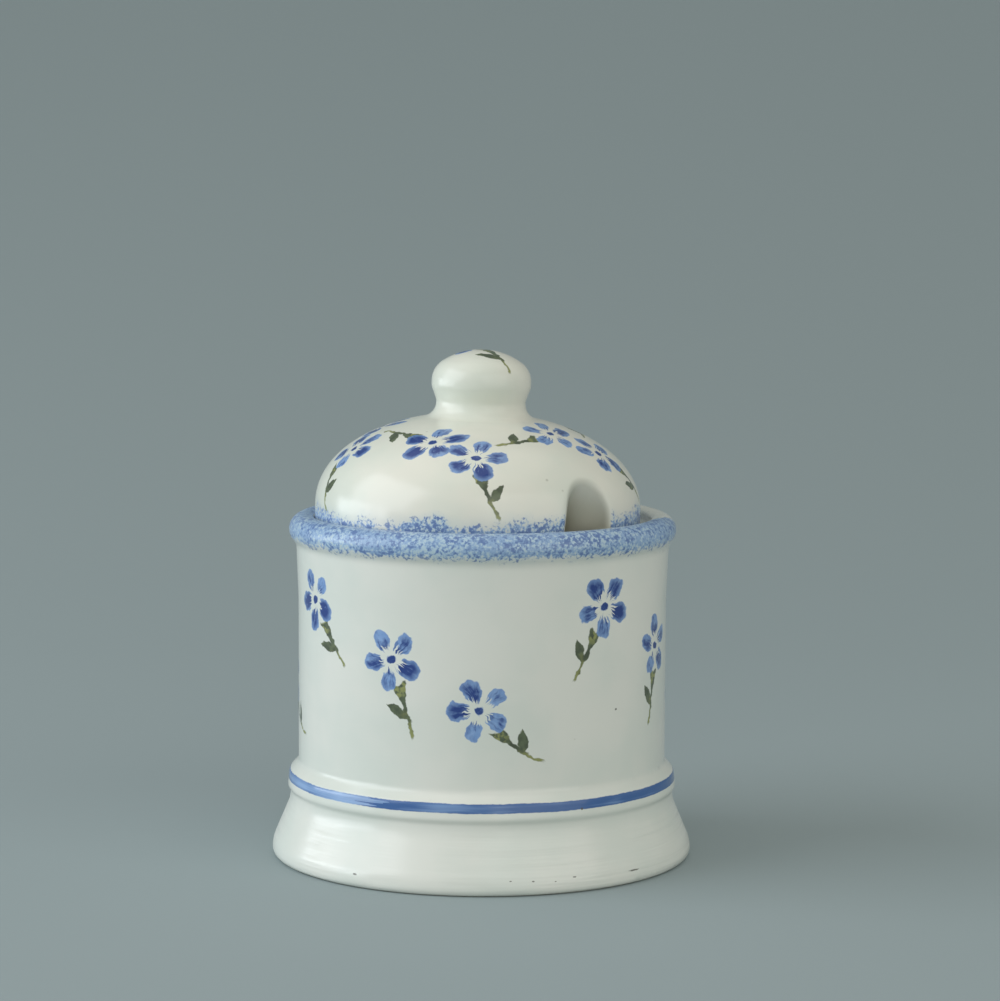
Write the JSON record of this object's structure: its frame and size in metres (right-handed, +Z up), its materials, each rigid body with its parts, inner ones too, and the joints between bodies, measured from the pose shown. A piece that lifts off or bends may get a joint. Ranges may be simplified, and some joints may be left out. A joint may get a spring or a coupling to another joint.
{
  "type": "jam pot",
  "caption": "Covered ceramic jam pot: straight body with a rolled rim on a flared foot, domed lid with a round knob and a fluted notch for a spoon handle.",
  "frame": {"origin": "middle of the footprint, on the table under the pot", "axes": "+Z up along the axis of the pot; -Y faces the viewer; the spoon notch of the lid is between -Y and +X"},
  "size_m": [0.0948, 0.0948, 0.1143],
  "materials": {
    "pot_glaze": "cream-white glossy glaze, blue sponged rim, painted blue band and flower sprigs",
    "lid_glaze": "cream-white glossy glaze, sponged blue edge and painted flower sprigs"
  },
  "bodies": {
    "root": {"pot": "pot_glaze", "lid": "lid_glaze"}
  },
  "joints": []
}
